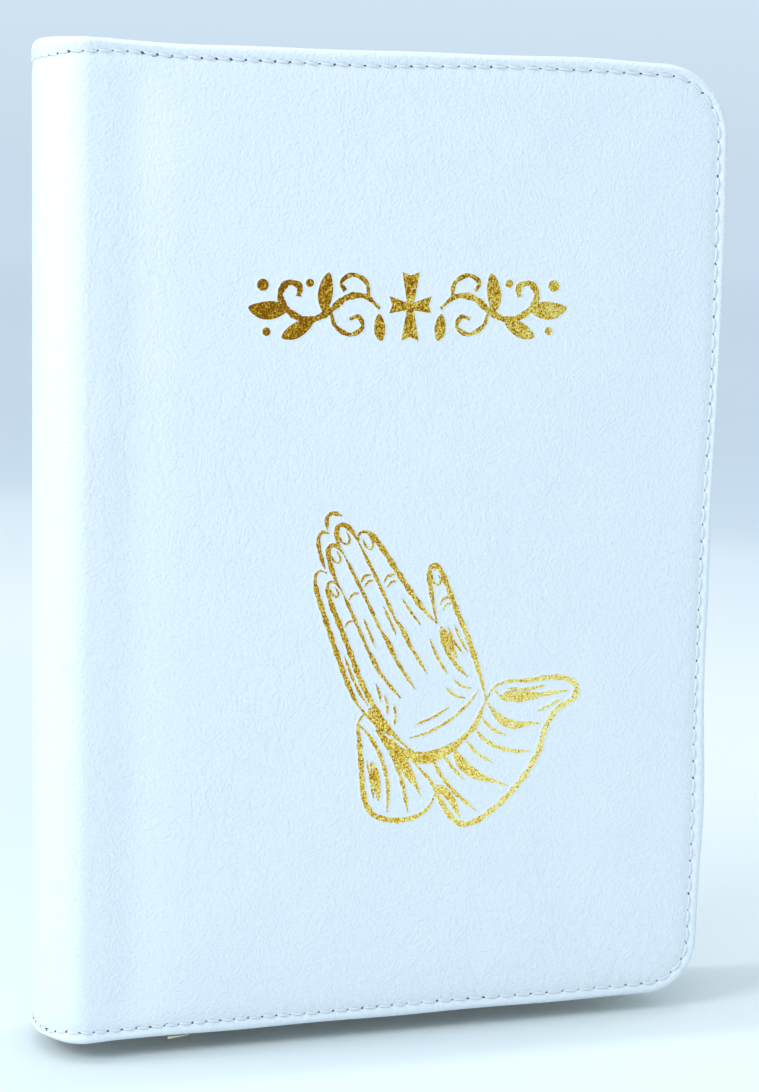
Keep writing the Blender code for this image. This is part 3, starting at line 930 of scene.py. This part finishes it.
def make_hands():
    """The drawing in foil. Each line and shade has its own level, so that none lie in one plane."""
    work = Builder()
    for number, (width, *points) in enumerate(HAND_LINES):
        foil_stroke(work, hand_space(points), width * 1.12, level=0.0011 * (number % 9))
    for number, points in enumerate(HAND_SHADES):
        foil_shape(work, hand_space(points), level=0.012 + 0.001 * number)
    obj = work.piece("gold_hands", [SKIN_LIP, FOIL])
    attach(obj, "front_cover")


ORNAMENT_AT = (2.2, 141.9)


def make_ornament():
    """A flared cross between two leafy sprays, in solid foil. Points are for the right-hand spray
    and are mirrored for the left. A stem is its width and then its points."""
    work = Builder()
    arm, long_arm, waist, flare_out = 4.3, 6.6, 0.75, 1.75
    right = [
        (flare_out, long_arm), (waist, waist), (arm, waist + 1.2), (arm - 0.6, waist / 4),
        (arm, -waist - 0.6), (waist, -waist), (flare_out, -long_arm),
    ]
    left = [(-x, z) for x, z in right[::-1]]
    cross = [*left[5:], (0, long_arm - 0.7), *right, (0, 0.7 - long_arm), *left[:5]]
    stems = (
        (1.25, 6.2, -0.4, 9.2, 1.9, 13, 1.6, 16.6, -1.2, 20.4, -2.6, 24.2, -1, 26, 2,
         24.6, 4.4, 22.2, 3.8, 22.4, 1.9),
        (0.85, 16, -0.9, 15, -3.8, 12, -5.4, 9.6, -4, 10.4, -2, 12.2, -2.4),
        (0.85, 8.4, 1.4, 9, 4.6, 11.8, 6, 14, 4.6, 13.2, 3),
    )
    leaves = (
        (17.2, -1.4, 18.6, 1.4, 18, 4.6, 16.4, 6.4, 15.6, 3.8, 16, 0.8),
        (19.4, -2.4, 20.2, -4.4, 22.8, -6.2, 25.6, -6, 24.4, -4, 21.8, -2.6),
        (24.6, -0.8, 27.2, -2.4, 30.2, -2.2, 32.2, -0.2, 29.4, 0.8, 26.6, 0.8),
        (6.4, -1.4, 7.2, -3.2, 7, -5.6, 5.6, -6.6, 5, -4.6, 5.4, -2.6),
    )
    berries = ((29.4, 4.0, 1.15), (20.2, 4.4, 0.8), (28.6, -4.8, 0.8))

    def placed(points, mirror):
        return [(ORNAMENT_AT[0] + mirror * x, ORNAMENT_AT[1] + z) for x, z in points]

    foil_shape(work, placed(cross, 1), 0.0, sharp=True)
    for mirror in (1, -1):
        for number, (width, *points) in enumerate(stems):
            foil_stroke(work, placed(pairs(points), mirror), width, (0.5, 0.9), 0.0015 * number)
        for number, points in enumerate(leaves):
            foil_shape(work, placed(pairs(points), mirror), 0.006 + 0.0012 * number)
        for x, z, size in berries:
            ((x, z),) = placed([(x, z)], mirror)
            ring = [(x + size * math.cos(t), z + size * math.sin(t)) for t in circle(10)]
            foil_shape(work, ring, 0.004)
    obj = work.piece("gold_ornament", [SKIN_LIP, FOIL])
    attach(obj, "front_cover")


# -------- inside


LINING_INSET, LINING_DEPTH = 6.7, 3.845  # in from the cover's edge, and in from its outer face
LINING_FROM = HINGE + 0.5
STRIP_END, STRIP_STEPS, STRIP_ROWS = 9.44, 16, 12  # the strip ends in Y beside the flyleaf


def make_lining(word, side):
    """The lining of a cover, inside the turned-in leather, with a soft raised edge."""
    edge = ((0.0, 0.395), (0.0, 0.125), (0.1, 0.045), (0.3, 0.01), (0.8, 0.0))  # in, and below
    cut = [(LINING_INSET + a, LINING_DEPTH - b) for a, b in edge] + [(RINGS_TO, LINING_DEPTH)]
    places = [s for s in STATIONS if not s[0].startswith("spine")][::2]
    rows = []
    for kind, at in [("tail", LINING_FROM), *places, ("head", LINING_FROM)]:
        row = []
        for inset, depth in cut:
            x, y, z, _, _ = on_edge(kind, at, inset, side)
            x, z = x + fore_shift(x, z), z - corner_droop(x, z)
            row.append((max(x, LINING_FROM), y - side * depth, z))
        rows.append(row)
    rows = np.array(rows)
    work = Builder()
    work.add_grid(rows, flip=side > 0)
    inner = rows[:, -1]
    work.add(inner, [tuple(range(len(inner)))[:: (1 if side > 0 else -1)]])
    obj = work.piece(word + "_lining_skin", [INNER], split=40)
    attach(obj, word + "_cover")
    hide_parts(word + "_lining")

    # The strip that joins the lining to the first leaf. It lies across the gap between them.
    y = np.linspace(FACE - LINING_DEPTH, STRIP_END, STRIP_STEPS + 1)
    z = np.linspace(LINING_INSET, HEIGHT - LINING_INSET, STRIP_ROWS)
    points = [[(LINING_FROM + 0.05, side * a, b) for b in z] for a in y]
    strip = Builder()
    strip.add_grid(points, flip=side < 0)
    obj = strip.piece(word + "_hinge_strip", [INNER])
    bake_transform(obj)


PAGE_LOW, PAGE_HIGH, PAGE_FORE, PAGE_CORNER = 3.2, 186.8, 64.6, 12.5
CORNER_FROM = PAGE_FORE - PAGE_CORNER
BLOCK_FACE, LEAF_GAP = 9.4, 0.2  # face of the block from the mid plane, and the gap between leaves


def leaf_columns(start):
    """X places over a leaf: close together at the fold and round the corners."""
    near = np.concatenate([np.linspace(0, 8, 17), np.linspace(9, 20, 7)]) + start
    middle = np.linspace(start + 24, CORNER_FROM, 16)
    corner = CORNER_FROM + PAGE_CORNER * np.sin(np.radians(np.linspace(8, 90, 11)))
    return np.concatenate([near, middle, corner])


def leaf_rows(x):
    """The lower and upper end of a leaf at X."""
    over = np.maximum(x - CORNER_FROM, 0.0)
    cut = PAGE_CORNER - np.sqrt(np.maximum(PAGE_CORNER**2 - over**2, 0.0))
    return PAGE_LOW + cut, PAGE_HIGH - cut


def make_leaf(name, start, outer, inner, room, side):
    """A stack of leaves between two distances from the mid plane. Past the ribbon its inner side
    lies closer to the mid plane by room."""

    def sides(x):
        return outer + 0 * x, inner - room * smooth_step(x, -31.0, -24.0)

    xs = leaf_columns(start)
    share = np.linspace(0, 1, 15)
    low, high = leaf_rows(xs)
    work = Builder()
    z = low[:, None] + (high - low)[:, None] * share[None]
    x = np.broadcast_to(xs[:, None], z.shape)
    for face, flip in zip(sides(x), (side > 0, side < 0)):
        work.add_grid(np.stack([x, side * face, z], -1), 1, flip)
    # the cut edges, as a strip round the outline
    ends = len(share) - 2
    ring_x = np.concatenate([xs, xs[-1:].repeat(ends), xs[::-1], xs[:1].repeat(ends), xs[:1]])
    ring_z = np.concatenate([low, z[-1, 1:-1], high[::-1], z[0, 1:-1][::-1], low[:1]])
    a, b = sides(ring_x)
    layers = 3 if outer - inner > 1 else 2
    steps = np.linspace(0, 1, layers + 1)
    ring = [np.stack([ring_x, side * (a + (b - a) * t), ring_z], -1) for t in steps]
    work.add_grid(ring, flip=side < 0)
    obj = work.piece(name + "_leaves", [EDGES, SHEET], split=35)
    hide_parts(name)
    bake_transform(obj)


def make_leaves(word, side):
    """The flyleaf and the sections next to a cover. A section is a little thicker than in
    CAD, to close the gaps, and the innermost front section leaves room for the ribbon."""
    starts = {"flyleaf": -51.0, "section_1": -50.2, "section_2": -48.1, "section_3": -47.0}
    outer = BLOCK_FACE
    for name, first in starts.items():
        thin = name == "flyleaf"
        thick, fill, bend = (FLYLEAF, 0.0, 4.5) if thin else (SECTION, 0.085, 6.5)
        room = 0.53 if side < 0 and name == "section_3" else 0.0
        full, inner = f"{word}_{name}", outer - thick - fill
        make_leaf(full, first - 0.2, outer + fill, inner, room, side)
        outer -= thick + LEAF_GAP


def make_ribbon():
    """Satin ribbon: over the head of the block, down between the leaves on a slant, and out."""
    face, half, wide = -0.93, 1.95, 3.9  # its place in Y, half its width, and its width
    upper, lower = -44.4, -36.2  # its middle in X at the head and at the tail
    high, low, top = 187.12, 2.9, 187.14  # where it turns at the head and tail, and lies on top
    across = np.linspace(-1, 1, 9)
    path = []
    for t in np.linspace(0, 1, 60):
        x = upper + (lower - upper) * t + 0.25 * math.sin(7 * t)
        path.append((x, face - 0.05 * math.sin(9 * t), high - t * (high - low)))
    # The end comes forward under the front leaves and just shows under the cover
    for t in np.linspace(0, 1, 25)[1:]:
        turn = 0.5 * math.pi * min(1.0, t / 0.55)
        y = face - 0.1 - 6.4 * (1 - math.cos(turn)) - 5.3 * max(0.0, t - 0.55) / 0.45
        z = low - low * math.sin(turn) - 0.25 * smooth_step(t, 0.5, 0.85)
        path.append((lower - 6.2 * t, y, z))
    rows = [[(x + s * half, y, z) for s in across] for x, y, z in path[:-1]]
    x, y, z = path[-1]
    rows.append([(x + s * half, y + 0.5 * s, z) for s in across])  # cut on a slant
    work = Builder()
    work.add_grid(rows)
    # On the head of the block it lies along X, and folds over a corner to run down
    places = np.linspace(-63.0, upper - half, 24)
    head = [[(x, face + (s + 1) * half, top + 0.02 * math.sin(x)) for s in across] for x in places]
    work.add_grid(head)
    grid = np.linspace(0, 1, 6)
    fold = [
        [(upper - half + wide * a, face + wide * (1 - 0.95 * a) * b, top) for b in grid]
        for a in grid
    ]
    work.add_grid(fold)
    obj = work.piece("ribbon", [RIBBON])
    solid = obj.modifiers.new("thickness", "SOLIDIFY")
    solid.thickness = 0.16 * MM
    solid.offset = 0.0
    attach(obj, ROOT)
    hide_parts("ribbon_marker")


def dress_nodes():
    """Better materials for the CAD nodes that stay."""
    looks = {
        "bound_pages": page_edges("bound_pages_look", PAPER, (0.92, 0.905, 0.86)),
        "head_band": striped_band("head_band_look", *BAND_COLOURS),
        "tail_band": striped_band("tail_band_look", *BAND_COLOURS),
        "mull_cloth": woven("mull_look", (0.82, 0.79, 0.70)),
        "spine_card": plain("spine_card_look", (0.55, 0.49, 0.39), 0.9, 0.2, 500.0),
    }
    for word in ("front", "back"):
        looks[word + "_padding"] = plain(word + "_padding_look", (0.85, 0.85, 0.83), 0.95)
        looks[word + "_board"] = plain(word + "_board_look", (0.5, 0.47, 0.42), 0.9, 0.2)
    for name, look in looks.items():
        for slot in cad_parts[name].material_slots:
            slot.material = look


# -------- camera, floor and light


def put(name, data, place, *axes):
    """A camera or a lamp at a place. It looks against the last of its three axes."""
    obj = bpy.data.objects.new(name, data)
    bpy.context.scene.collection.objects.link(obj)
    obj.matrix_world = Matrix.Translation(place) @ Matrix(axes).transposed().to_4x4()
    return obj


def make_camera():
    data = bpy.data.cameras.new("camera")
    data.lens = 85.36
    data.sensor_width = 36.0
    data.clip_start = 0.01
    yaw, pitch, tilt = (math.radians(a) for a in (18.399, 8.383, 1.116))
    ahead = Vector(
        (math.sin(yaw) * math.cos(pitch), math.cos(yaw) * math.cos(pitch), -math.sin(pitch))
    )
    right = Vector((math.cos(yaw), -math.sin(yaw), 0.0))
    up = right.cross(ahead)
    across = right * math.cos(tilt) + up * math.sin(tilt)
    over = up * math.cos(tilt) - right * math.sin(tilt)
    place = (-0.15985, -0.48512, 0.16874)
    bpy.context.scene.camera = put("camera", data, place, across, over, -ahead)


def make_stage():
    """A pale table top. Its tone changes with the distance from a point left of the book, as
    painted light and shade.
    """
    n = Nodes("stage_look")
    away = n.add("VectorMath", {0: n.place(), 1: (-0.285, 0.095, 0.0)}, operation="DISTANCE")
    reach = n.maths("MULTIPLY", away.outputs["Value"], 0.2)
    # Painted light and shade: darker near the book, lighter at about half a metre, a darker band at
    # about 0.9 m, and lighter far off to make up for the lamps' light falling off.
    tint = n.ramp(
        reach,
        (0.05, (0.745, 0.795, 0.785)),
        (0.105, (0.90, 0.90, 0.86)),
        (0.155, (0.87, 0.89, 0.88)),
        (0.178, (0.77, 0.815, 0.84)),
        (0.40, (0.88, 0.90, 0.92)),
        (1.0, (0.98, 0.985, 0.99)),
        ease=True,
    )
    look = n.finish(tint, 0.9, n.bump(n.noise(n.place(), 400.0, 3.0), 0.0001, 0.3))
    spokes = 96
    turn = np.linspace(0, 2 * math.pi, spokes + 1)
    radii = (50, 400, 900, 1600, 3000, 6000, 14000)
    rows = [[(r * math.cos(t), r * math.sin(t), -TABLE_GAP) for t in turn] for r in radii]
    work = Builder()
    work.add_grid(rows, flip=True)
    work.add(rows[0][:-1], [range(spokes)])
    weld(work.piece("table_top", [look]))


def area_light(name, place, target, size, power, colour):
    data = bpy.data.lights.new(name, "AREA")
    data.shape = "RECTANGLE"
    data.size, data.size_y = size
    data.energy = power
    data.color = colour
    aim = (Vector(target) - Vector(place)).normalized()
    across = Vector((1, 0, 0)) if abs(aim.x) < 0.7 else Vector((0, 1, 0))
    across = (across - aim * across.dot(aim)).normalized()
    put(name, data, place, across, (-aim).cross(across), -aim)


def make_light():
    """An even sky, a little brighter above the horizon, and four soft lamps."""
    n = Nodes("studio", world=True)
    n.value("Strength", WORLD)
    height = n.parts(n.add("TexCoord").outputs["Generated"])["Z"]
    n.feed(n.shader.inputs["Color"], n.ramp(height, *SKY))
    bpy.context.scene.world = n.owner
    for lamp in LAMPS:
        area_light(*lamp)
    bpy.context.scene.view_settings.view_transform = "Standard"


# Colour of the sky by height, from the horizon up
SKY = (
    (0.0, (0.847, 1.036, 1.225)),
    (0.075, (0.935, 1.14, 1.32)),
    (0.3, (0.86, 1.05, 1.24)),
)
COOL, WARM = (0.95, 0.98, 1.0), (1.0, 0.985, 0.97)
LAMPS = (
    ("strip_above", (-0.25, 0.055, 1.0), (-0.25, 0.055, 0.0), (1.3, 0.035), 3.3, COOL),
    ("spine_side", (-0.5, 0.09, 0.45), (0.0, 0.0, 0.42), (0.34, 0.34), 0.35, WARM),
    ("front_left", (-1.0, -0.42, 0.75), (0.0, 0.0, 0.12), (0.4, 0.4), 6.8, COOL),
    ("head_front", (-0.2, -0.5, 0.55), (-0.08, 0.0, 0.6), (0.3, 0.3), 0.6, COOL),
)


make_camera()
make_stage()
make_light()
for word, side in (("front", -1), ("back", 1)):
    make_skin(word, side)
    sew(word, side)
    make_lining(word, side)
    make_leaves(word, side)
make_ornament()
make_hands()
make_ribbon()
dress_nodes()
